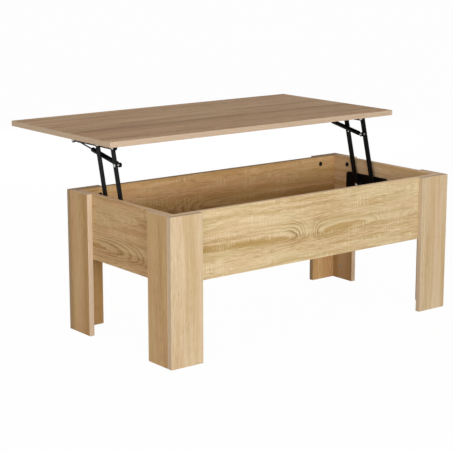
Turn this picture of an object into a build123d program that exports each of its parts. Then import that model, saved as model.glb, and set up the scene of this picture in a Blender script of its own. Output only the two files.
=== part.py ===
"""Lift top coffee table: a veneered board box on four corner legs, with a lid on two sprung linkages.

Millimetres. +Z is up and the floor is Z = 0. X runs along the table and the origin is the middle of
the footprint. -Y is the front. The lid is raised, and has come towards +Y, where its user sits.
"""

import math
import os

from build123d import *

# Boards and overall sizes
board = 15.0
frame_length = 975.0
frame_width = 475.0
frame_height = 390.0
leg_width = 100.0
body_bottom = 212.0
lid_length = 1000.0
lid_width = 500.0
arris = 0.6

# Bottom panel in its groove
bottom_thickness = 5.0
groove_lift = 10.0
groove_depth = 6.0
groove_play = 0.4
bottom_play = 0.5

# Lid travel: the raised lid stands higher and further to +Y than the closed one
lid_underside = 532.0
lid_shift = 254.0
closed_gap = 0.5

# Linkage: pivots, and the depths of its layers measured inwards from the end panel's inner face
arm_pivot_length = 212.0
arm_width = 18.0
pivot_spacing = 72.0
rear_top_pivot_y = 147.0
top_pivot_drop = 12.0
plate_thickness = 2.5
boss_height = 2.0
boss_radius = 13.0
washer_thickness = 0.8
running_gap = 0.2
arm_depth = 10.0
arm_thickness = 3.5
bracket_thickness = 2.5
pivot_radius = 4.0
running_fit = 0.05
rivet_head_radius = 5.8
rivet_head_height = 2.2
rivet_tail_radius = 6.0
rivet_tail_height = 1.5
washer_radius = 9.0

# Base plate outline, and its screws and stop
plate_rear_y = 150.0
plate_front_y = -28.0
plate_top = 348.0
plate_bottom = 283.0
plate_corner = 10.0
plate_nose = 24.0
plate_screw_ys = (-12.0, 59.0, 138.0)
plate_screw_zs = (293.0, 341.0)
stop_pin_radius = 4.0
stop_pin_up_arm = 26.0
stop_pin_gap = 0.3
stop_pin_recess = 0.2
stop_pin_proud = 1.0
stop_pin_dome = 0.8

# Top bracket, an angle under the lid
bracket_front_y = 60.0
bracket_rear_y = 281.0
bracket_drop = 20.0
bracket_flange = 26.0
bracket_bend = 2.0
bracket_screw_ys = (92.0, 168.0, 222.0, 266.0)
bracket_screw_depth = 29.0

# Gas springs: a tube on the front arm's pin, and a rod out of it to a stud on the bracket's ear
hanger_y = 273.0
hanger_drop = 18.0
hanger_ear_radius = 6.5
hanger_pin_radius = 2.5
hanger_pin_tail_radius = 3.6
hanger_pin_shoulder_radius = 4.0
hanger_pin_dome = 0.8
spring_pin_down_arm = 48.0
spring_pin_radius = 3.0
spring_pin_tail_radius = 4.2
spring_pin_shoulder_radius = 4.5
spring_pin_dome = 1.2
spring_depth = 25.0
tube_radius = 6.5
tube_bore = 5.5
tube_lip = 1.0
tube_lip_bore = 3.2
tube_round = 1.5
tube_plug = 9.0
tube_mouth_distance = 83.0
tube_end_distance = 10.5
bead_distance = 10.0
bead_radius = 1.6
bead_depth = 0.6
guide_length = 14.0
guide_play = 0.1
piston_length = 6.0
piston_play = 0.15
piston_setback = 1.0
rod_radius = 2.0
rod_dome = 0.6
socket_radius = 5.6
socket_width = 9.0
socket_round = 1.6
socket_neck_radius = 3.6
socket_neck_length = 15.0
socket_depth = 8.0
socket_gap = 0.3
eye_radius = 6.2
eye_width = 7.0
eye_neck_radius = 3.2
eye_stud_radius = 2.5
eye_stud_length = 7.0
eye_stud_play = 0.05
neck_bite = 1.0

# Fasteners
bolt_radius = 3.0
bolt_head_radius = 7.0
bolt_head_height = 3.0
bolt_length = 25.0
bolt_inset = 13.0
bolt_zs = (242.0, 368.0)
bore_play = 0.1
drill_over = 1.0
cam_radius = 7.5
cam_thickness = 12.0
cam_setback = 34.0
cam_slot = 1.6
cam_slot_depth = 2.5
cam_z = 40.0
cam_bolt_radius = 3.2
cam_bolt_thread = 10.0
cam_bolt_neck = (26.0, 30.0)
cam_bolt_reach = 33.0
dowel_radius = 4.0
dowel_shallow = 10.0
dowel_deep = 20.0
dowel_taper = 1.0
dowel_z = 120.0
corner_screw_radius = 3.4
corner_screw_head_radius = 5.0
corner_screw_length = 48.0
corner_screw_zs = (252.0, 352.0)
screw_radius = 1.9
screw_head_radius = 4.0
screw_head_height = 2.0
plate_screw_length = 13.0
bracket_screw_length = 12.0

# Derived places
sides = {"left": -1, "right": 1}
half_length = frame_length / 2
half_width = frame_width / 2
leg_inner_x = half_length - board
leg_inner_y = half_width - board
end_inner_x = leg_inner_x - board
long_inner_y = leg_inner_y - board
groove_bottom = body_bottom + groove_lift
groove_top = groove_bottom + bottom_thickness + groove_play
end_bolt_y = half_width - leg_width + bolt_inset
long_bolt_x = half_length - leg_width + bolt_inset
corner_screw_x = (leg_inner_x + end_inner_x) / 2
leg_join_x = half_length - board / 2
cam_y = leg_inner_y - cam_setback

# Derived layers of the linkage
boss_face = plate_thickness + boss_height
arm_inner = arm_depth + arm_thickness
spacer_thickness = arm_depth - running_gap - boss_face
bracket_depth = arm_inner + running_gap + washer_thickness
bracket_inner = bracket_depth + bracket_thickness

# Derived linkage: the arms swing through lift_angle, and lean lean_angle past upright when raised
lid_rise = lid_underside - frame_height - closed_gap
chord = math.hypot(lid_shift, lid_rise)
lift_angle = 2 * math.degrees(math.asin(chord / (2 * arm_pivot_length)))
lean_angle = lift_angle / 2 - math.degrees(math.atan2(lid_rise, lid_shift))
lean_sin = math.sin(math.radians(lean_angle))
lean_cos = math.cos(math.radians(lean_angle))
top_pivot_z = lid_underside - top_pivot_drop
base_pivot_z = top_pivot_z - arm_pivot_length * lean_cos
top_pivot_ys = {"front": rear_top_pivot_y - pivot_spacing, "rear": rear_top_pivot_y}
base_pivot_ys = {row: y - arm_pivot_length * lean_sin for row, y in top_pivot_ys.items()}
hanger = (hanger_y, lid_underside - hanger_drop)
spring_pin = (
    top_pivot_ys["front"] - spring_pin_down_arm * lean_sin,
    top_pivot_z - spring_pin_down_arm * lean_cos,
)
spring_run = math.dist(hanger, spring_pin)
spring_way = Vector(0, spring_pin[0] - hanger[0], spring_pin[1] - hanger[1]).normalized()
tube_length = spring_run - tube_mouth_distance - tube_end_distance
piston_distance = tube_mouth_distance + tube_lip + guide_length + piston_setback

os.makedirs("parts", exist_ok=True)


def save(piece, name):
    """Label one finished piece and write it under that name."""
    piece.part.label = name
    export_step(piece.part, f"parts/{name}.step")


def inward_x(side, depth):
    """X of a layer at this depth in from one end panel's inner face."""
    return side * (end_inner_x - depth)


def lathe(origin, direction):
    """Plane of a lathe's profile: its x is the distance along direction, and its y the radius."""
    return Plane(origin=origin, x_dir=direction, z_dir=Vector(0, 1, 0.01).cross(Vector(direction)))


def turned(origin, direction, corners, dome=0.0, mode=Mode.ADD):
    """In the open part, revolve (distance, radius) corners about direction, with a domed last end."""
    with BuildSketch(lathe(origin, direction)) as profile:
        with BuildLine():
            Polyline((corners[0][0], 0), *corners)
            last = corners[-1]
            if dome:
                crown = (last[0] + dome, 0)
                ball = (last[1] ** 2 + dome**2) / (2 * dome)
                half_turn = math.asin(last[1] / ball) / 2
                shoulder = (crown[0] - ball + ball * math.cos(half_turn), ball * math.sin(half_turn))
                ThreePointArc(last, shoulder, crown)
            else:
                crown = (last[0], 0)
                Line(last, crown)
            Line(crown, (corners[0][0], 0))
        make_face()
    revolve(profile.sketch, axis=Axis(origin, direction), mode=mode)


def bored(origin, direction, radius, depth):
    """Cut a round blind hole from origin along direction out of the open part."""
    with BuildSketch(Plane(origin=origin, z_dir=direction)) as mouth:
        Circle(radius)
    extrude(mouth.sketch, amount=depth, mode=Mode.SUBTRACT)


def panel(low, high):
    """Fill the open part with one board between two corners, with its arrises eased."""
    with BuildSketch(Plane.XY.offset(low[2])) as face:
        with Locations(((low[0] + high[0]) / 2, (low[1] + high[1]) / 2)):
            Rectangle(high[0] - low[0], high[1] - low[1])
    block = extrude(face.sketch, amount=high[2] - low[2])
    chamfer(block.edges(), arris)


def span(sign, near, far):
    """Two coordinates on one side of the middle, lowest first."""
    return sorted((sign * near, sign * far))


# Long panels: the box's front and rear, drilled for the legs' bolts and grooved for the bottom
for name, sign in (("front_panel", -1), ("rear_panel", 1)):
    y_low, y_high = span(sign, long_inner_y, leg_inner_y)
    with BuildPart() as long_panel:
        panel((-leg_inner_x, y_low, body_bottom), (leg_inner_x, y_high, frame_height))
        with BuildSketch(Plane.YZ):
            with Locations((sign * (long_inner_y + groove_depth / 2), (groove_bottom + groove_top) / 2)):
                Rectangle(groove_depth, groove_top - groove_bottom)
        extrude(amount=leg_inner_x, both=True, mode=Mode.SUBTRACT)
        for end in (-1, 1):
            for z in bolt_zs:
                start = (end * long_bolt_x, sign * long_inner_y, z)
                bored(start, (0, sign, 0), bolt_radius + bore_play, board)
            for z in corner_screw_zs:
                start = (end * corner_screw_x, sign * leg_inner_y, z)
                bored(start, (0, -sign, 0), corner_screw_radius + bore_play, board)
                bored(start, (0, -sign, 0), corner_screw_head_radius + bore_play, corner_screw_head_radius)
    save(long_panel, name)

# End panels: between the long ones, also carrying the linkages' base plates
for name, side in sides.items():
    x_low, x_high = span(side, end_inner_x, leg_inner_x)
    with BuildPart() as end_panel:
        panel((x_low, -long_inner_y, body_bottom), (x_high, long_inner_y, frame_height))
        with BuildSketch(Plane.XZ):
            with Locations((side * (end_inner_x + groove_depth / 2), (groove_bottom + groove_top) / 2)):
                Rectangle(groove_depth, groove_top - groove_bottom)
        extrude(amount=long_inner_y, both=True, mode=Mode.SUBTRACT)
        for sign in (-1, 1):
            for z in bolt_zs:
                start = (side * end_inner_x, sign * end_bolt_y, z)
                bored(start, (side, 0, 0), bolt_radius + bore_play, board)
            for z in corner_screw_zs:
                start = (side * corner_screw_x, sign * long_inner_y, z)
                depth = corner_screw_length - board + drill_over
                bored(start, (0, -sign, 0), corner_screw_radius + bore_play, depth)
        for y in plate_screw_ys:
            for z in plate_screw_zs:
                start = (side * end_inner_x, y, z)
                depth = plate_screw_length - plate_thickness + drill_over
                bored(start, (side, 0, 0), screw_radius + bore_play, depth)
    save(end_panel, f"{name}_end_panel")

# Bottom panel: thin board held in the grooves all round
with BuildPart() as bottom_panel:
    reach = groove_depth - bottom_play
    low = (-end_inner_x - reach, -long_inner_y - reach, groove_bottom + groove_play / 2)
    with BuildSketch(Plane.XY.offset(low[2])):
        Rectangle(-2 * low[0], -2 * low[1])
    extrude(amount=bottom_thickness)
save(bottom_panel, "bottom_panel")

# Legs: each is two boards in an L round the outside of a body corner
for end_name, side in sides.items():
    for row, sign in (("front", -1), ("rear", 1)):
        x_low, x_high = span(side, half_length - leg_width, half_length)
        y_low, y_high = span(sign, leg_inner_y, half_width)
        with BuildPart() as long_board:
            panel((x_low, y_low, 0), (x_high, y_high, frame_height))
            for z in bolt_zs:
                start = (side * long_bolt_x, sign * leg_inner_y, z)
                bored(start, (0, sign, 0), bolt_radius + bore_play, bolt_length - board + drill_over)
            start = (side * leg_join_x, sign * leg_inner_y, cam_z)
            bored(start, (0, sign, 0), cam_bolt_radius + bore_play, cam_bolt_thread + drill_over)
            start = (side * leg_join_x, sign * leg_inner_y, dowel_z)
            bored(start, (0, sign, 0), dowel_radius + bore_play, dowel_shallow + drill_over)
        save(long_board, f"{row}_{end_name}_leg_long_board")

        x_low, x_high = span(side, leg_inner_x, half_length)
        y_low, y_high = span(sign, half_width - leg_width, leg_inner_y)
        with BuildPart() as end_board:
            panel((x_low, y_low, 0), (x_high, y_high, frame_height))
            for z in bolt_zs:
                start = (side * leg_inner_x, sign * end_bolt_y, z)
                bored(start, (side, 0, 0), bolt_radius + bore_play, bolt_length - board + drill_over)
            bored((side * leg_inner_x, sign * cam_y, cam_z), (side, 0, 0), cam_radius, cam_thickness)
            start = (side * leg_join_x, sign * leg_inner_y, cam_z)
            bored(start, (0, -sign, 0), cam_bolt_radius + bore_play, cam_setback)
            start = (side * leg_join_x, sign * leg_inner_y, dowel_z)
            bored(start, (0, -sign, 0), dowel_radius + bore_play, dowel_deep + drill_over)
        save(end_board, f"{row}_{end_name}_leg_end_board")

# Leg bolts: black button heads inside the box, shanks through the body into the leg boards
bolt_outline = [(bolt_length, bolt_radius), (0, bolt_radius), (0, bolt_head_radius)]
with BuildPart() as leg_bolts:
    for side in sides.values():
        for sign in (-1, 1):
            for z in bolt_zs:
                start = (side * long_bolt_x, sign * long_inner_y, z)
                turned(start, (0, -sign, 0), [(-a, r) for a, r in bolt_outline], bolt_head_height)
                start = (side * end_inner_x, sign * end_bolt_y, z)
                turned(start, (-side, 0, 0), [(-a, r) for a, r in bolt_outline], bolt_head_height)
save(leg_bolts, "leg_bolts")

# Corner screws: flat heads under the legs, through the long panels into the end panels' edges
with BuildPart() as corner_screws:
    head = corner_screw_head_radius - corner_screw_radius
    outline = [
        (0, corner_screw_head_radius),
        (corner_screw_head_radius - head, corner_screw_head_radius),
        (corner_screw_head_radius, corner_screw_radius),
        (corner_screw_length - corner_screw_radius, corner_screw_radius),
        (corner_screw_length, corner_screw_radius / 3),
    ]
    for side in sides.values():
        for sign in (-1, 1):
            for z in corner_screw_zs:
                turned((side * corner_screw_x, sign * leg_inner_y, z), (0, -sign, 0), outline)
save(corner_screws, "corner_screws")

# Leg cam locks: zinc discs flush in the end boards, with a cross slot and a mouth for the cam bolt
with BuildPart() as leg_cam_locks:
    for side in sides.values():
        for sign in (-1, 1):
            centre = (side * leg_inner_x, sign * cam_y, cam_z)
            body = Plane(origin=centre, x_dir=(0, 1, 0), z_dir=(side, 0, 0))
            with BuildSketch(body):
                Circle(cam_radius - bore_play)
            extrude(amount=cam_thickness - bore_play)
            with BuildSketch(body):
                Rectangle(cam_radius, cam_slot)
                Rectangle(cam_slot, cam_radius)
            extrude(amount=cam_slot_depth, mode=Mode.SUBTRACT)
            mouth = (side * leg_join_x, sign * cam_y, cam_z)
            bored(mouth, (0, sign, 0), cam_bolt_radius + bore_play, cam_radius)
save(leg_cam_locks, "leg_cam_locks")

# Leg cam bolts: screwed into the long boards, drawn into the cams
with BuildPart() as leg_cam_bolts:
    outline = [
        (-cam_bolt_thread, cam_bolt_radius),
        (cam_bolt_neck[0], cam_bolt_radius),
        (cam_bolt_neck[0], cam_bolt_radius / 2),
        (cam_bolt_neck[1], cam_bolt_radius / 2),
        (cam_bolt_neck[1], cam_bolt_radius),
        (cam_bolt_reach, cam_bolt_radius),
    ]
    for side in sides.values():
        for sign in (-1, 1):
            turned((side * leg_join_x, sign * leg_inner_y, cam_z), (0, -sign, 0), outline)
save(leg_cam_bolts, "leg_cam_bolts")

# Leg dowels: beech pegs that line up each leg's two boards
with BuildPart() as leg_dowels:
    outline = [
        (-dowel_shallow, dowel_radius - dowel_taper),
        (dowel_taper - dowel_shallow, dowel_radius),
        (dowel_deep - dowel_taper, dowel_radius),
        (dowel_deep, dowel_radius - dowel_taper),
    ]
    for side in sides.values():
        for sign in (-1, 1):
            turned((side * leg_join_x, sign * leg_inner_y, dowel_z), (0, -sign, 0), outline)
save(leg_dowels, "leg_dowels")

# Base plates: pressed steel on the end panels, with a raised boss round each pivot
for name, side in sides.items():
    with BuildPart() as base_plate:
        with BuildSketch(Plane.YZ.offset(inward_x(side, 0))):
            with BuildLine():
                FilletPolyline(
                    (plate_rear_y, plate_bottom),
                    (plate_rear_y, plate_top),
                    (plate_front_y, plate_top),
                    (plate_front_y, plate_bottom + plate_nose),
                    (plate_front_y + plate_nose, plate_bottom),
                    radius=plate_corner,
                    close=True,
                )
            make_face()
        extrude(amount=-side * plate_thickness)
        for y in base_pivot_ys.values():
            boss = (inward_x(side, 0), y, base_pivot_z)
            slope = boss_height / 2
            rim = [
                (plate_thickness / 2, boss_radius + slope),
                (plate_thickness, boss_radius + slope),
                (plate_thickness + boss_height, boss_radius - slope),
            ]
            turned(boss, (-side, 0, 0), rim)
            bored(boss, (-side, 0, 0), boss_radius - plate_thickness, boss_height)
            bored(boss, (-side, 0, 0), pivot_radius, 2 * plate_thickness)
        for y in plate_screw_ys:
            for z in plate_screw_zs:
                start = (inward_x(side, 0), y, z)
                bored(start, (-side, 0, 0), screw_radius + bore_play, plate_thickness)
        stop_along = stop_pin_up_arm
        stop_off = arm_width / 2 + stop_pin_gap + stop_pin_radius
        stop_y = base_pivot_ys["rear"] + stop_along * lean_sin + stop_off * lean_cos
        stop_z = base_pivot_z + stop_along * lean_cos - stop_off * lean_sin
        bored((inward_x(side, 0), stop_y, stop_z), (-side, 0, 0), stop_pin_radius / 2, plate_thickness)
    save(base_plate, f"{name}_base_plate")

# Base plate screws: pan heads
with BuildPart() as base_plate_screws:
    tip = plate_thickness - plate_screw_length
    outline = [
        (tip, screw_radius / 3),
        (tip + screw_radius, screw_radius),
        (plate_thickness, screw_radius),
        (plate_thickness, screw_head_radius),
    ]
    for side in sides.values():
        for y in plate_screw_ys:
            for z in plate_screw_zs:
                turned((inward_x(side, 0), y, z), (-side, 0, 0), outline, screw_head_height)
save(base_plate_screws, "base_plate_screws")

# Stop pins: shouldered studs that the rear arms lean on when the lid is up
with BuildPart() as stop_pins:
    outline = [
        (stop_pin_recess, stop_pin_radius / 2),
        (plate_thickness, stop_pin_radius / 2),
        (plate_thickness, stop_pin_radius),
        (arm_depth + arm_thickness + stop_pin_proud, stop_pin_radius),
    ]
    for side in sides.values():
        turned((inward_x(side, 0), stop_y, stop_z), (-side, 0, 0), outline, stop_pin_dome)
save(stop_pins, "stop_pins")

# Base pivot washers: thick nylon spacers between the bosses and the arms
with BuildPart() as base_pivot_washers:
    for side in sides.values():
        for y in base_pivot_ys.values():
            with BuildSketch(Plane.YZ.offset(inward_x(side, boss_face))):
                with Locations((y, base_pivot_z)):
                    Circle(washer_radius)
                    Circle(pivot_radius + running_fit, mode=Mode.SUBTRACT)
            extrude(amount=-side * spacer_thickness)
save(base_pivot_washers, "base_pivot_washers")

# Base pivot rivets: closed tails in the bosses' hollow backs, domed heads over the arms
with BuildPart() as base_pivot_rivets:
    outline = [
        (boss_height - rivet_tail_height, rivet_tail_radius),
        (boss_height, rivet_tail_radius),
        (boss_height, pivot_radius),
        (arm_inner + running_gap, pivot_radius),
        (arm_inner + running_gap, rivet_head_radius),
    ]
    for side in sides.values():
        for y in base_pivot_ys.values():
            start = (inward_x(side, 0), y, base_pivot_z)
            turned(start, (-side, 0, 0), outline, rivet_head_height)
save(base_pivot_rivets, "base_pivot_rivets")

# Arms: flat bars, all alike, with a hole for the spring's pin below the top pivot
for name, side in sides.items():
    for row, top_y in top_pivot_ys.items():
        base = (base_pivot_ys[row], base_pivot_z)
        top = (top_y, top_pivot_z)
        pin = (top_y - spring_pin_down_arm * lean_sin, spring_pin[1])
        with BuildPart() as arm:
            with BuildSketch(Plane.YZ.offset(inward_x(side, arm_depth))):
                with Locations(((base[0] + top[0]) / 2, (base[1] + top[1]) / 2)):
                    SlotCenterToCenter(arm_pivot_length, arm_width, rotation=90 - lean_angle)
                with Locations(base, top):
                    Circle(pivot_radius + running_fit, mode=Mode.SUBTRACT)
                with Locations(pin):
                    Circle(spring_pin_radius, mode=Mode.SUBTRACT)
            bar = extrude(amount=-side * arm_thickness)
            chamfer(bar.faces().filter_by(Axis.X).edges().filter_by(GeomType.LINE), arris)
        save(arm, f"{name}_{row}_arm")

# Top brackets: steel angles under the lid, drilled for the pivots and eared for the spring's hanger
bracket_length = bracket_rear_y - bracket_front_y
bracket_middle_y = (bracket_front_y + bracket_rear_y) / 2
for name, side in sides.items():
    with BuildPart() as top_bracket:
        with BuildSketch(Plane.YZ.offset(inward_x(side, bracket_depth))):
            with Locations((bracket_middle_y, lid_underside - bracket_drop / 2)):
                Rectangle(bracket_length, bracket_drop)
        web = extrude(amount=-side * bracket_thickness)
        fillet(web.edges().filter_by(Axis.X).group_by(Axis.Z)[0], plate_corner)
        with BuildSketch(Plane.YZ.offset(inward_x(side, bracket_depth))) as ear:
            with Locations(hanger):
                Circle(hanger_ear_radius)
        extrude(ear.sketch, amount=-side * bracket_thickness)
        with BuildSketch(Plane.XY.offset(lid_underside)) as flange:
            with Locations((inward_x(side, bracket_depth + bracket_flange / 2), bracket_middle_y)):
                Rectangle(bracket_flange, bracket_length)
        extrude(flange.sketch, amount=-bracket_thickness)
        folds = top_bracket.edges().filter_by(Axis.Y)
        inside = (inward_x(side, bracket_inner), bracket_middle_y, lid_underside - bracket_thickness)
        fillet(folds.sort_by_distance(inside)[0], bracket_bend)
        folds = top_bracket.edges().filter_by(Axis.Y)
        outside = (inward_x(side, bracket_depth), bracket_middle_y, lid_underside)
        fillet(folds.sort_by_distance(outside)[0], bracket_bend + bracket_thickness)
        for y in top_pivot_ys.values():
            start = (inward_x(side, bracket_depth), y, top_pivot_z)
            bored(start, (-side, 0, 0), pivot_radius, bracket_thickness)
        start = (inward_x(side, bracket_depth), *hanger)
        bored(start, (-side, 0, 0), hanger_pin_radius, bracket_thickness)
        for y in bracket_screw_ys:
            start = (inward_x(side, bracket_screw_depth), y, lid_underside)
            bored(start, (0, 0, -1), screw_radius + bore_play, bracket_thickness)
    save(top_bracket, f"{name}_top_bracket")

# Bracket screws: up into the lid's underside
with BuildPart() as bracket_screws:
    tip = bracket_thickness - bracket_screw_length
    outline = [
        (tip, screw_radius / 3),
        (tip + screw_radius, screw_radius),
        (bracket_thickness, screw_radius),
        (bracket_thickness, screw_head_radius),
    ]
    for side in sides.values():
        for y in bracket_screw_ys:
            start = (inward_x(side, bracket_screw_depth), y, lid_underside)
            turned(start, (0, 0, -1), outline, screw_head_height)
save(bracket_screws, "bracket_screws")

# Top pivot washers: nylon, between the arms and the brackets
with BuildPart() as top_pivot_washers:
    for side in sides.values():
        for y in top_pivot_ys.values():
            with BuildSketch(Plane.YZ.offset(inward_x(side, bracket_depth - washer_thickness))):
                with Locations((y, top_pivot_z)):
                    Circle(washer_radius)
                    Circle(pivot_radius + running_fit, mode=Mode.SUBTRACT)
            extrude(amount=-side * washer_thickness)
save(top_pivot_washers, "top_pivot_washers")

# Top pivot rivets: domed heads outside the arms, tails closed on the brackets
with BuildPart() as top_pivot_rivets:
    outline = [
        (-bracket_inner - rivet_tail_height, rivet_tail_radius),
        (-bracket_inner, rivet_tail_radius),
        (-bracket_inner, pivot_radius),
        (running_gap - arm_depth, pivot_radius),
        (running_gap - arm_depth, rivet_head_radius),
    ]
    for side in sides.values():
        for y in top_pivot_ys.values():
            start = (inward_x(side, 0), y, top_pivot_z)
            turned(start, (side, 0, 0), outline, rivet_head_height)
save(top_pivot_rivets, "top_pivot_rivets")

# Spring pins: studs riveted through the front arms, carrying the springs' lower eyes
eye_near = spring_depth - eye_width / 2
eye_far = spring_depth + eye_width / 2
for name, side in sides.items():
    with BuildPart() as spring_pin_stud:
        outline = [
            (arm_depth - rivet_tail_height, spring_pin_tail_radius),
            (arm_depth, spring_pin_tail_radius),
            (arm_depth, spring_pin_radius),
            (arm_inner, spring_pin_radius),
            (arm_inner, spring_pin_shoulder_radius),
            (eye_near - running_gap, spring_pin_shoulder_radius),
            (eye_near - running_gap, spring_pin_radius),
            (eye_far + running_gap, spring_pin_radius),
            (eye_far + running_gap, spring_pin_tail_radius),
        ]
        turned((inward_x(side, 0), *spring_pin), (-side, 0, 0), outline, spring_pin_dome)
    save(spring_pin_stud, f"{name}_spring_pin")

# Hanger pins: studs riveted through the brackets' ears, short of the sockets that turn on them
socket_near = spring_depth - socket_width / 2
with BuildPart() as hanger_pins:
    outline = [
        (bracket_inner - socket_near + socket_gap, hanger_pin_shoulder_radius),
        (0, hanger_pin_shoulder_radius),
        (0, hanger_pin_radius),
        (bracket_thickness, hanger_pin_radius),
        (bracket_thickness, hanger_pin_tail_radius),
    ]
    for side in sides.values():
        turned((inward_x(side, bracket_inner), *hanger), (side, 0, 0), outline, hanger_pin_dome)
save(hanger_pins, "hanger_pins")

# Gas springs, one at each end: tube, guide, piston, rod, and the fittings screwed on at both ends
for name, side in sides.items():
    top = Vector(inward_x(side, spring_depth), *hanger)
    foot = Vector(inward_x(side, spring_depth), *spring_pin)
    mouth = top + spring_way * tube_mouth_distance

    # Tube: drawn steel, rolled over at the mouth, beaded into the guide, with a plug at its lower end
    with BuildPart() as spring_tube:
        shell = [(0, tube_radius), (tube_length, tube_radius)]
        turned(mouth, spring_way, shell)
        fillet(spring_tube.edges().filter_by(GeomType.CIRCLE), tube_round)
        with BuildSketch(lathe(mouth, spring_way)) as bead:
            with Locations((bead_distance, tube_radius + bead_radius - bead_depth)):
                Circle(bead_radius)
        revolve(bead.sketch, axis=Axis(mouth, spring_way), mode=Mode.SUBTRACT)
        chamber = [(tube_lip, tube_bore), (tube_length - tube_plug, tube_bore)]
        turned(mouth, spring_way, chamber, mode=Mode.SUBTRACT)
        bored(mouth, spring_way, tube_lip_bore, tube_lip)
        tail = foot - spring_way * tube_end_distance
        bored(tail, spring_way * -1, eye_stud_radius + eye_stud_play, eye_stud_length + drill_over)
    save(spring_tube, f"{name}_spring")

    # Guide: a bush behind the lip, with the seal that the rod runs through
    with BuildPart() as spring_guide:
        with BuildSketch(Plane(origin=mouth + spring_way * tube_lip, z_dir=spring_way)):
            Circle(tube_bore - guide_play)
            Circle(rod_radius + running_fit, mode=Mode.SUBTRACT)
        extrude(amount=guide_length)
    save(spring_guide, f"{name}_spring_guide")

    # Piston: a ring on the rod's inner end
    with BuildPart() as spring_piston:
        with BuildSketch(Plane(origin=top + spring_way * piston_distance, z_dir=spring_way)):
            Circle(tube_bore - piston_play)
            Circle(rod_radius + running_fit, mode=Mode.SUBTRACT)
        extrude(amount=piston_length)
    save(spring_piston, f"{name}_spring_piston")

    # Rod: from inside the upper fitting to just past the piston
    with BuildPart() as spring_rod:
        rod_start = socket_neck_length - socket_depth
        rod_end = piston_distance + piston_length
        turned(top, spring_way, [(rod_start, rod_radius), (rod_end, rod_radius)], rod_dome)
    save(spring_rod, f"{name}_spring_rod")

    # Socket: a moulded ball socket on the rod, against the bracket's stud
    with BuildPart() as spring_socket:
        with BuildSketch(Plane.YZ.offset(inward_x(side, socket_near))):
            with Locations(hanger):
                Circle(socket_radius)
        cup = extrude(amount=-side * socket_width)
        fillet(cup.edges().filter_by(GeomType.CIRCLE), socket_round)
        turned(top, spring_way, [(0, socket_neck_radius), (socket_neck_length, socket_neck_radius)])
        bored(top + spring_way * socket_neck_length, spring_way * -1, rod_radius + running_fit, socket_depth)
    save(spring_socket, f"{name}_spring_socket")

    # Eye: a forged ring on the arm's pin, with a stud into the tube's plug
    with BuildPart() as spring_eye:
        with BuildSketch(Plane.YZ.offset(inward_x(side, eye_near))):
            with Locations(spring_pin):
                Circle(eye_radius)
        extrude(amount=-side * eye_width)
        outline = [
            (spring_pin_radius + neck_bite, eye_neck_radius),
            (tube_end_distance, eye_neck_radius),
            (tube_end_distance, eye_stud_radius),
            (tube_end_distance + eye_stud_length, eye_stud_radius),
        ]
        turned(foot, spring_way * -1, outline)
        bore = (inward_x(side, eye_near), *spring_pin)
        bored(bore, (-side, 0, 0), spring_pin_radius + running_fit, eye_width)
    save(spring_eye, f"{name}_spring_eye")

# Lid: one board, drilled underneath for the brackets' screws
with BuildPart() as lid_panel:
    lid_y = (lid_shift - lid_width / 2, lid_shift + lid_width / 2)
    panel((-lid_length / 2, lid_y[0], lid_underside), (lid_length / 2, lid_y[1], lid_underside + board))
    for side in sides.values():
        for y in bracket_screw_ys:
            start = (inward_x(side, bracket_screw_depth), y, lid_underside)
            bored(start, (0, 0, 1), screw_radius + bore_play, bracket_screw_length)
save(lid_panel, "lid_panel")

print(f"lift angle {lift_angle:.3f} lean {lean_angle:.3f}")
print("base pivots", {row: round(y, 3) for row, y in base_pivot_ys.items()}, round(base_pivot_z, 3))
print("top pivots", top_pivot_ys, top_pivot_z)
print("hanger", hanger, "spring pin", spring_pin, "run", spring_run, "tube", tube_length)
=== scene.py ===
"""Lift top coffee table: an oak-print board box on four legs, its lid raised on two black sprung linkages.

Metres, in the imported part's own frame: X along the table, +Y towards the user, Z up.
"""

import math

import bpy
import numpy as np
from mathutils import Matrix, Vector

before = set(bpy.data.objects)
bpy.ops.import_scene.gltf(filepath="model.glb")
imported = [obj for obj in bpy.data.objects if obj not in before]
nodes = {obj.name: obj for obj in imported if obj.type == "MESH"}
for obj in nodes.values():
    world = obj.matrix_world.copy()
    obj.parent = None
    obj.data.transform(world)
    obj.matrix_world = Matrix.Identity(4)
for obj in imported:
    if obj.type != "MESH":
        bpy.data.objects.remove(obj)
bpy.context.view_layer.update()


# Front and rear panels: 15 mm particle board, faced with oak-print melamine paper pressed on under heat.
# The paper shows light rough-sawn oak with its grain along the board. A plain strip is glued on the edges.
# Long screws through these two panels hold the end panels.
X, Y, Z = Vector((1, 0, 0)), Vector((0, 1, 0)), Vector((0, 0, 1))


def linear(code):
    """Turn an sRGB hex colour into the linear RGBA that shader sockets take."""
    srgb = np.array([int(code[i : i + 2], 16) for i in (1, 3, 5)]) / 255
    return (*np.where(srgb <= 0.04045, srgb / 12.92, ((srgb + 0.055) / 1.055) ** 2.4), 1)


def node(tree, kind, inputs=None, **settings):
    """Add one node to a tree, set its properties, and link or fill the named input sockets."""
    made = tree.nodes.new(kind)
    for name, value in settings.items():
        setattr(made, name, value)
    for name, value in (inputs or {}).items():
        if isinstance(value, bpy.types.NodeSocket):
            tree.links.new(value, made.inputs[name])
        else:
            made.inputs[name].default_value = value
    return made


def finish(name):
    """Start a material, and hand back it, its tree and its shader."""
    material = bpy.data.materials.new(name)
    material.use_nodes = True
    return material, material.node_tree, material.node_tree.nodes["Principled BSDF"]


def dress(piece, material):
    """Give a piece one material all over."""
    piece.data.materials.clear()
    piece.data.materials.append(material)


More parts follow.
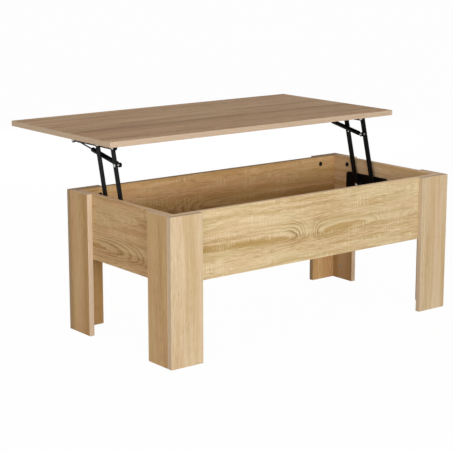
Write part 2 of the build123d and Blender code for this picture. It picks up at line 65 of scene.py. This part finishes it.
def flecks(tree, place, size, low, high):
    """Spots of noise with these sizes along each axis, faded from 0 at the low level to 1 at the high one."""
    per_metre = [1 / length for length in size]
    stretched = node(tree, "ShaderNodeVectorMath", {0: place, 1: per_metre}, operation="MULTIPLY").outputs[0]
    spots = node(tree, "ShaderNodeTexNoise", {"Vector": stretched, "Scale": 1.0, "Detail": 3.0})
    levels = {"Value": spots.outputs["Fac"], "From Min": low, "From Max": high}
    return node(tree, "ShaderNodeMapRange", levels, interpolation_type="SMOOTHSTEP").outputs[0]


def oak_print(name, centre, grain, across, tones, flames, ring=0.008, sawing=0.55):
    """Oak-print melamine, with its figure measured from centre along the grain and across it.

    Growth rings are contours of the distance from a bent pith: the root of the squared offset across the
    grain plus the squared depth under the face. The depth is a sum of bells along the grain, each of them
    height / (1 + reach squared), where reach is the way from the bell's start over its spread, which differs
    before and after it. So arches face each other across a bell, and close to a lens beside it. Offsets on
    the lower side count for more, so the rings lie closer there. Slow noise bends the pith, a fine ripple
    roughens the rings, and they show most at the last bell. Tones are the pale and warm ground, the dark and
    deep grain, the saw marks and the edge strip. Ring is the rings' width.
    """
    pale, warm, dark, deep, tick, strip = (linear(code) for code in tones)
    material, tree, shader = finish(name)
    thick = grain.cross(across)
    coordinates = node(tree, "ShaderNodeTexCoord")
    board = {
        "Vector": coordinates.outputs["Object"],
        "Location": centre,
        "Rotation": Matrix((grain, across, thick)).transposed().to_euler(),
    }
    place = node(tree, "ShaderNodeMapping", board, vector_type="TEXTURE").outputs[0]

    # pith: its offset and depth, bent by noise over about 0.4 m along the grain and 0.12 m across
    bends_per_metre, bend_across, bend_depth = (2.4, 8, 8), 0.036, 0.018
    lower_side = 1.7
    slow = node(tree, "ShaderNodeVectorMath", {0: place, 1: bends_per_metre}, operation="MULTIPLY").outputs[0]
    wander = {"Vector": slow, "Scale": 1.0, "Detail": 3.0, "Roughness": 0.6}
    wander = node(tree, "ShaderNodeTexNoise", wander).outputs["Color"]
    drift = node(tree, "ShaderNodeSeparateColor", {0: wander}).outputs
    axes = node(tree, "ShaderNodeSeparateXYZ", {0: place}).outputs
    offset = {0: drift[1], 1: bend_across, 2: axes[1]}
    offset = node(tree, "ShaderNodeMath", offset, operation="MULTIPLY_ADD").outputs[0]
    offset = node(tree, "ShaderNodeMath", {0: offset, 1: bend_across / 2}, operation="SUBTRACT").outputs[0]
    depth = {0: drift[0], 1: bend_depth, 2: -bend_depth / 2}
    depth = node(tree, "ShaderNodeMath", depth, operation="MULTIPLY_ADD").outputs[0]
    for start, height, before, after in flames:
        ahead = {0: axes[0], 1: 1 / after, 2: -start / after}
        ahead = node(tree, "ShaderNodeMath", ahead, operation="MULTIPLY_ADD").outputs[0]
        behind = node(tree, "ShaderNodeMath", {0: ahead, 1: -after / before}, operation="MULTIPLY").outputs[0]
        reach = node(tree, "ShaderNodeMath", {0: ahead, 1: behind}, operation="MAXIMUM").outputs[0]
        square = {0: reach, 1: reach, 2: 1.0}
        square = node(tree, "ShaderNodeMath", square, operation="MULTIPLY_ADD").outputs[0]
        bell = node(tree, "ShaderNodeMath", {0: height, 1: square}, operation="DIVIDE").outputs[0]
        depth = node(tree, "ShaderNodeMath", {0: bell, 1: depth}, operation="ADD").outputs[0]
    below = node(tree, "ShaderNodeMath", {0: offset, 1: -lower_side}, operation="MULTIPLY").outputs[0]
    side = node(tree, "ShaderNodeMath", {0: offset, 1: below}, operation="MAXIMUM").outputs[0]
    pith = node(tree, "ShaderNodeCombineXYZ", {0: side, 1: depth}).outputs[0]
    radius = node(tree, "ShaderNodeVectorMath", {0: pith}, operation="LENGTH").outputs["Value"]
    ripples_per_metre, ripple_width = (34, 60, 60), 0.006
    fine = {0: place, 1: ripples_per_metre}
    fine = node(tree, "ShaderNodeVectorMath", fine, operation="MULTIPLY").outputs[0]
    ripple = node(tree, "ShaderNodeTexNoise", {"Vector": fine, "Scale": 1.0, "Detail": 2.0}).outputs["Fac"]
    radius = {0: ripple, 1: ripple_width, 2: radius}
    radius = node(tree, "ShaderNodeMath", radius, operation="MULTIPLY_ADD").outputs[0]

    # rings: each darkens slowly and ends at a sharp line, clear near the pith at the last bell, else faint
    changes_per_metre, uneven_rings = 90.0, 1.6
    patch_size = (0.20, 0.035, 0.035)
    uneven = {"W": radius, "Scale": changes_per_metre, "Detail": 1.0}
    uneven = node(tree, "ShaderNodeTexNoise", uneven, noise_dimensions="1D").outputs["Fac"]
    count = node(tree, "ShaderNodeMath", {0: radius, 1: ring}, operation="DIVIDE").outputs[0]
    count = {0: uneven, 1: uneven_rings, 2: count}
    count = node(tree, "ShaderNodeMath", count, operation="MULTIPLY_ADD").outputs[0]
    step = node(tree, "ShaderNodeMath", {0: count}, operation="FRACT").outputs[0]
    late = node(tree, "ShaderNodeValToRGB", {"Fac": step})
    late.color_ramp.interpolation = "EASE"
    late.color_ramp.elements[1].color = (0, 0, 0, 1)
    for position, level in ((0.35, 0.2), (0.8, 1.0)):
        late.color_ramp.elements.new(position).color = (level, level, level, 1)
    near = {"Value": radius, "From Min": 0.042, "From Max": 0.058, "To Min": 1.0, "To Max": 0.15}
    near = node(tree, "ShaderNodeMapRange", near, interpolation_type="SMOOTHSTEP").outputs[0]
    arch = {"Value": bell, "From Min": 0.003, "From Max": 0.016, "To Min": 0.3, "To Max": 1.0}
    arch = node(tree, "ShaderNodeMapRange", arch, interpolation_type="SMOOTHSTEP").outputs[0]
    patches = flecks(tree, place, patch_size, 0.22, 0.50)
    lines = late.outputs[0]
    for share in (near, arch, patches):
        lines = node(tree, "ShaderNodeMath", {0: lines, 1: share}, operation="MULTIPLY").outputs[0]
    heart = {"Value": radius, "From Min": 0.0125, "From Max": 0.0145, "To Min": 0.8, "To Max": 0.0}
    heart = node(tree, "ShaderNodeMapRange", heart, interpolation_type="SMOOTHSTEP").outputs[0]

    # streaks along the grain, from broad bands to pores; the finest are drawn wider than real pores, to show
    cloud_size, band_size, lively_size = (0.36, 0.050, 0.050), (0.55, 0.020, 0.020), (0.60, 0.060, 0.060)
    thread_size, pore_size = (0.095, 0.0036, 0.0036), (0.024, 0.0018, 0.0018)
    calm_pores, lively_pores = 0.35, 1.0
    flow = node(tree, "ShaderNodeCombineXYZ", {0: axes[0], 1: offset, 2: axes[2]}).outputs[0]
    clouds = flecks(tree, place, cloud_size, 0.38, 0.62)
    bands = flecks(tree, flow, band_size, 0.42, 0.68)
    threads = flecks(tree, flow, thread_size, 0.42, 0.68)
    lively = flecks(tree, place, lively_size, 0.36, 0.60)
    threads = node(tree, "ShaderNodeMath", {0: threads, 1: lively}, operation="MULTIPLY").outputs[0]
    pores = flecks(tree, flow, pore_size, 0.46, 0.68)
    crowd = {0: lively, 1: lively_pores - calm_pores, 2: calm_pores}
    crowd = node(tree, "ShaderNodeMath", crowd, operation="MULTIPLY_ADD").outputs[0]
    pores = node(tree, "ShaderNodeMath", {0: pores, 1: crowd}, operation="MULTIPLY").outputs[0]

    # saw marks: straight ticks about 3 mm apart, in patches, as a rough-sawn board keeps them
    mark_size, sawn_size = (0.0030, 0.5, 0.5), (0.12, 0.018, 0.018)
    marks = flecks(tree, place, mark_size, 0.48, 0.58)
    sawn = flecks(tree, place, sawn_size, 0.52, 0.60)
    cuts = node(tree, "ShaderNodeMath", {0: marks, 1: sawn}, operation="MULTIPLY").outputs[0]
    cuts = node(tree, "ShaderNodeMath", {0: cuts, 1: sawing}, operation="MULTIPLY").outputs[0]

    # the inks, one over the other, each with its strength
    colour = node(tree, "ShaderNodeMix", {0: clouds, 6: pale, 7: warm}, data_type="RGBA").outputs[2]
    inks = (
        (bands, 0.64, dark),
        (threads, 0.62, dark),
        (heart, 1.0, dark),
        (lines, 0.85, deep),
        (pores, 0.46, deep),
        (cuts, 1.0, tick),
    )
    for layer, strength, tone in inks:
        share = node(tree, "ShaderNodeMath", {0: layer, 1: strength}, operation="MULTIPLY").outputs[0]
        colour = node(tree, "ShaderNodeMix", {0: share, 6: colour, 7: tone}, data_type="RGBA").outputs[2]

    # edges: the strip has the print's pores alone, and starts where a face turns from the broad sides
    broad_side, strip_pores = 0.9, 0.25
    facing = {0: coordinates.outputs["Normal"], 1: thick}
    facing = node(tree, "ShaderNodeVectorMath", facing, operation="DOT_PRODUCT").outputs["Value"]
    facing = node(tree, "ShaderNodeMath", {0: facing}, operation="ABSOLUTE").outputs[0]
    face = node(tree, "ShaderNodeMath", {0: facing, 1: broad_side}, operation="GREATER_THAN").outputs[0]
    share = node(tree, "ShaderNodeMath", {0: pores, 1: strip_pores}, operation="MULTIPLY").outputs[0]
    edge = node(tree, "ShaderNodeMix", {0: share, 6: strip, 7: dark}, data_type="RGBA").outputs[2]
    colour = node(tree, "ShaderNodeMix", {0: face, 6: edge, 7: colour}, data_type="RGBA").outputs[2]
    tree.links.new(colour, shader.inputs["Base Color"])

    # pressed texture: pores and saw marks are shallow grooves, and melamine is rougher in them; its gloss is
    # kept low, because a white surround would wash the print out where it is seen at a low angle
    groove_depth = 0.0002
    relief = node(tree, "ShaderNodeMath", {0: pores, 1: cuts}, operation="ADD").outputs[0]
    rough = {"Value": relief, "To Min": 0.48, "To Max": 0.62}
    rough = node(tree, "ShaderNodeMapRange", rough).outputs[0]
    tree.links.new(rough, shader.inputs["Roughness"])
    groove = {"Height": relief, "Strength": 0.25, "Distance": groove_depth}
    groove = node(tree, "ShaderNodeBump", groove, invert=True).outputs[0]
    tree.links.new(groove, shader.inputs["Normal"])
    shader.inputs["Specular IOR Level"].default_value = 0.04
    return material


# Melamine over a print is a matt, even skin: it shows wood figure with no depth, and only a trace of gloss.
# The front has its arches right of the middle, with a lens of plain dark wood beside them.
front_tones = ("#D4C29C", "#D2BA96", "#AC8F59", "#84642F", "#E4D6B4", "#F2D8B4")
front_flames = ((0.30, 0.04, 0.04, 0.06), (0.47, 0.04, 0.10, 0.10), (0, 0.048, 0.036, 0.022))
front_centre = (-0.022, -0.2225, 0.286)
front_print = oak_print("oak_melamine_front", front_centre, X, Z, front_tones, front_flames)
dress(nodes["front_panel"], front_print)
# The rear panel's edge strip is darker than the front's, as painted shade: it stands in for the shade under
# the raised lid on the panel's top edge. Its print is also warmer than the front's, partly a real difference
# and partly painted warm light bounced inside the box.
rear_tones_with_painted_shade = ("#DAB886", "#D8AE82", "#BE965C", "#A27B46", "#E2CAA0", "#A88F70")
rear_flames = ((0, 0.045, 0.03, 0.11),)
rear_centre = (-0.17, 0.2225, 0.292)
rear_print = oak_print("oak_melamine_rear", rear_centre, X, Z, rear_tones_with_painted_shade, rear_flames)
dress(nodes["rear_panel"], rear_print)


# End panels: the same board cut shorter, between the long panels, with its grain along Y.
# The linkages' base plates are screwed to their inner faces.
# The two end panels are toned apart as painted light and shade. The right one is lighter, standing in for
# light reaching its inner face inside the box, where the walls and the raised lid shade it. The left one is a
# little darker, so that its outer face shows no brighter than that inner face.
left_tones_with_painted_shade = ("#D0B488", "#CEAA84", "#B08A56", "#8C6537", "#DBC298", "#E4C5A2")
right_tones_with_painted_light = ("#E8CEA6", "#E4C4A0", "#CCA976", "#B08B58", "#F0DCB6", "#E4C5A2")
end_flames = ((0, 0.05, 0.04, 0.13),)
for name, centre, tones in (
    ("left", (-0.465, -0.15, 0.250), left_tones_with_painted_shade),
    ("right", (0.465, 0.33, 0.31), right_tones_with_painted_light),
):
    end_print = oak_print(f"oak_melamine_{name}_end", centre, Y, Z, tones, end_flames, sawing=0.6)
    dress(nodes[f"{name}_end_panel"], end_print)


# Bottom: a thin sheet of hardboard, pressed from wood fibre, smooth on its upper side.
# It lies loose in grooves in the four panels, so nothing has to fix it.
def speckled(name, light, dark, grain, rough, relief, metallic=0.0, specular=0.5):
    """A finish in spots of the grain's size, which go from light to dark and from smooth to rough.

    Relief is the height of the spots.
    """
    material, tree, shader = finish(name)
    place = node(tree, "ShaderNodeTexCoord").outputs["Object"]
    spots = flecks(tree, place, grain, 0.3, 0.7)
    tones = {0: spots, 6: linear(light), 7: linear(dark)}
    tones = node(tree, "ShaderNodeMix", tones, data_type="RGBA").outputs[2]
    tree.links.new(tones, shader.inputs["Base Color"])
    levels = {"Value": spots, "To Min": rough[0], "To Max": rough[1]}
    levels = node(tree, "ShaderNodeMapRange", levels).outputs[0]
    tree.links.new(levels, shader.inputs["Roughness"])
    swell = {"Height": spots, "Strength": 0.3, "Distance": relief}
    swell = node(tree, "ShaderNodeBump", swell).outputs[0]
    tree.links.new(swell, shader.inputs["Normal"])
    shader.inputs["Metallic"].default_value = metallic
    shader.inputs["Specular IOR Level"].default_value = specular
    return material


# Matted fibres, about 12 mm long, give hardboard a dull brown that varies from place to place.
fibre = (0.012, 0.003, 0.003)
hardboard = speckled("hardboard", "#A88659", "#8F6E45", grain=fibre, rough=(0.56, 0.68), relief=0.0002)
dress(nodes["bottom_panel"], hardboard)


# Legs: two boards each, in an L outside the box's corner, with the grain upright.
# The long-side board covers the end board's edge. Bolts from inside the box hold both to it.
leg_piths = {
    "front_left": ((-0.37, -0.23, 0.9), (-0.48, -0.09, 0.95)),
    "front_right": ((0.37, -0.23, -0.5), (0.48, -0.09, 0.8)),
    "rear_left": ((-0.35, 0.23, 0.8), (-0.48, 0.10, 0.75)),
    "rear_right": ((0.36, 0.23, 0.05), (0.48, 0.09, 0.75)),
}
leg_tones = ("#D0BEA0", "#CDB698", "#B89F74", "#A28660", "#E6DABB", "#CAB59B")
side_tones = ("#CBAE82", "#C8A57E", "#B08B5A", "#997445", "#DBC298", "#DEC8AE")
leg_flames = ((0, 0.03, 0.1, 0.1),)
leg_sawing = 0.08
for corner, (long_pith, end_pith) in leg_piths.items():
    # the rear legs' long boards take the rear panel's tones, with the same painted shade on the edge strip
    long_tones = leg_tones if "front" in corner else rear_tones_with_painted_shade
    for side, pith, across, tones in (("long", long_pith, X, long_tones), ("end", end_pith, Y, side_tones)):
        paper_name = f"oak_melamine_{corner}_leg_{side}"
        upright = oak_print(paper_name, pith, Z, across, tones, leg_flames, sawing=leg_sawing)
        dress(nodes[f"{corner}_leg_{side}_board"], upright)


# Fasteners of the boards: cam locks in the legs' inner faces, turned onto steel cam bolts, pull each leg's
# two boards together, and beech dowels line them up. Long steel screws hold the ends between the long panels.

# Zinc plate is a thin pale layer over turned steel: bright, and clouded in patches of a few millimetres.
cloud = (0.003, 0.003, 0.003)
zinc = speckled(
    "zinc_plated_steel", "#D8D9DA", "#BCBEBF", grain=cloud, rough=(0.28, 0.42), relief=0.00002, metallic=1.0
)
for name in ("leg_cam_bolts", "corner_screws"):
    dress(nodes[name], zinc)
# A zinc die casting is left as it comes from the mould: a dull grey skin, mottled by the flow of the metal.
mottle = (0.0015, 0.0015, 0.0015)
die_cast = speckled(
    "zinc_die_casting", "#C9C2B8", "#B5ADA2", grain=mottle, rough=(0.42, 0.58), relief=0.00005, metallic=1.0
)
dress(nodes["leg_cam_locks"], die_cast)
# Turned beech is an even tan, with short darker flakes along its grain, drawn coarser than real, to show.
flake = (0.0008, 0.006, 0.0008)
beech = speckled("beech", "#D9BE93", "#B99567", grain=flake, rough=(0.55, 0.65), relief=0.00005)
dress(nodes["leg_dowels"], beech)


# Linkage steel: base plates and arms cut from sheet, and top brackets folded from it.
# The plates are screwed to the end panels and the brackets to the lid.
# The leg bolts, the plates' screws and the stop pins have the same black coat.

# Powder baked onto steel is a satin black, with an orange peel about a millimetre across.
peel = (0.0009, 0.0009, 0.0009)
black = speckled(
    "black_powder_coat", "#0B0A0A", "#100F0F", grain=peel, rough=(0.42, 0.55), relief=0.0001, specular=0.08
)
for name in ("leg_bolts", "base_plate_screws", "stop_pins"):
    dress(nodes[name], black)
for end in ("left", "right"):
    for name in ("base_plate", "front_arm", "rear_arm", "top_bracket"):
        dress(nodes[f"{end}_{name}"], black)


# Pivots: zinc-plated rivets, pins and screws, with nylon washers and spacers between the moving faces.
# The rivets are headed over on both sides, loosely enough to turn.
for name in ("base_pivot_rivets", "top_pivot_rivets", "bracket_screws", "hanger_pins"):
    dress(nodes[name], zinc)
for end in ("left", "right"):
    dress(nodes[f"{end}_spring_pin"], zinc)
# Moulded nylon is a soft dark grey, with a faint bloom in patches.
bloom = (0.002, 0.002, 0.002)
nylon = speckled("black_nylon", "#111112", "#1A1A1B", grain=bloom, rough=(0.45, 0.55), relief=0.00003)
for name in ("base_pivot_washers", "top_pivot_washers"):
    dress(nodes[name], nylon)


# Gas springs: a drawn steel tube with an eye on its closed end, and a ground rod ending in a moulded socket.
# The rod runs through a nylon guide in the tube's mouth and carries a piston inside.

# Sprayed lacquer is smooth and black, with a long low ripple.
wave = (0.004, 0.004, 0.004)
lacquer = speckled(
    "black_lacquer", "#050506", "#080809", grain=wave, rough=(0.36, 0.44), relief=0.00003, specular=0.08
)
# Nitriding leaves ground steel dark and glossy, with marks from the wheel, drawn coarser than real, to show.
line = (0.004, 0.0004, 0.0004)
nitride = speckled(
    "black_nitrided_steel", "#2C2C2E", "#28282A", grain=line, rough=(0.22, 0.34), relief=0.00001, metallic=1.0
)
spring_finishes = {
    "spring": lacquer,
    "spring_eye": lacquer,
    "spring_rod": nitride,
    "spring_piston": zinc,
    "spring_guide": nylon,
    "spring_socket": nylon,
}
for end in ("left", "right"):
    for name, material in spring_finishes.items():
        dress(nodes[f"{end}_{name}"], material)


# Lid: one board of the same make, with a straighter part of the print on top and its grain along X.
# Screws up through the two brackets hold it.
lid_tones = ("#D8BA95", "#D2AC89", "#A88159", "#926C44", "#DCC49F", "#CAB49C")
lid_flames = ((0, 0.06, 0.3, 0.3),)
lid_centre = (-0.9, 0.20, 0.54)
lid_print = oak_print("oak_melamine_lid", lid_centre, X, Y, lid_tones, lid_flames, ring=0.011)
dress(nodes["lid_panel"], lid_print)


# Floor: a wide pale sheet of paper that the table stands on.
# It lies a hair below the leg ends, so that the two faces don't share a plane.
floor_half, floor_drop = 20.0, 0.0002
floor_mesh = bpy.data.meshes.new("floor")
corners = [(x * floor_half, y * floor_half, -floor_drop) for x, y in ((-1, -1), (1, -1), (1, 1), (-1, 1))]
floor_mesh.from_pydata(corners, [], [(0, 1, 2, 3)])
floor = bpy.data.objects.new("floor", floor_mesh)
bpy.context.scene.collection.objects.link(floor)


def background_rays(tree):
    """The rays that show the background: straight from the camera, mirrored by a surface or through glass."""
    path = node(tree, "ShaderNodeLightPath").outputs
    rays = path["Is Camera Ray"]
    for kind in ("Is Glossy Ray", "Is Transmission Ray"):
        rays = node(tree, "ShaderNodeMath", {0: rays, 1: path[kind]}, operation="MAXIMUM").outputs[0]
    return rays


# Bright paper is almost white to the eye, with the table's shadow left as a faint trace.
paper, tree, shader = finish("white_paper")
shader.inputs["Base Color"].default_value = linear("#F4F4F4")
shader.inputs["Roughness"].default_value = 0.9
glow = node(tree, "ShaderNodeEmission", {"Color": (1, 1, 1, 1), "Strength": 1.0}).outputs[0]
share = node(tree, "ShaderNodeMath", {0: background_rays(tree), 1: 0.98}, operation="MULTIPLY").outputs[0]
blend = node(tree, "ShaderNodeMixShader", {0: share, 1: shader.outputs[0], 2: glow}).outputs[0]
tree.links.new(blend, tree.nodes["Material Output"].inputs["Surface"])
dress(floor, paper)


# Light: a wide soft box in front, and weaker ones at the left and behind.
# The even surround is slightly warm, and is white where the background shows.
surround_light = (0.33, 0.29, 0.245, 1)
world = bpy.data.worlds.new("studio")
bpy.context.scene.world = world
world.use_nodes = True
tree = world.node_tree
surround = {0: background_rays(tree), 6: surround_light, 7: (1, 1, 1, 1)}
surround = node(tree, "ShaderNodeMix", surround, data_type="RGBA").outputs[2]
tree.links.new(surround, tree.nodes["Background"].inputs["Color"])


def soft_box(name, place, size, power):
    """A rectangular area lamp at a place, turned to the middle of the table."""
    table_middle = Vector((0, 0, 0.35))
    lamp = bpy.data.lights.new(name, "AREA")
    lamp.shape = "RECTANGLE"
    lamp.size, lamp.size_y = size
    lamp.energy = power
    holder = bpy.data.objects.new(name, lamp)
    holder.location = place
    holder.rotation_euler = (table_middle - Vector(place)).to_track_quat("-Z", "Y").to_euler()
    bpy.context.scene.collection.objects.link(holder)
    return holder


# the rear box lights the far faces, and isn't mirrored, or the lid would lose its colour
soft_box("front_box", place=(-0.9, -3.7, 0.92), size=(2.4, 0.9), power=89)
soft_box("left_box", place=(-3.3, -1.2, 1.7), size=(1.6, 1.2), power=28)
rear_box = soft_box("rear_box", place=(1.6, 3.4, 0.65), size=(2.4, 0.8), power=60)
rear_box.visible_glossy = False


# Camera: the photograph's view, from the front left and a little above, through a long lens.
# Its place, turn and focal length were fitted to the corners of the boards.
view_azimuth = math.radians(-38.057)
view_height = math.radians(12.306)
view_point = (-2.465663, -2.98428, 1.107374)
image_side = 452
focal_pixels = 1419.14
lens = bpy.data.cameras.new("camera")
lens.sensor_width = 36.0
lens.lens = lens.sensor_width * focal_pixels / image_side
camera = bpy.data.objects.new("camera", lens)
camera.location = view_point
level = Vector((math.sin(view_azimuth), -math.cos(view_azimuth), 0))
back = level * math.cos(view_height) + Z * math.sin(view_height)
camera.rotation_euler = (-back).to_track_quat("-Z", "Y").to_euler()
bpy.context.scene.collection.objects.link(camera)
bpy.context.scene.camera = camera
bpy.context.scene.view_settings.view_transform = "Standard"
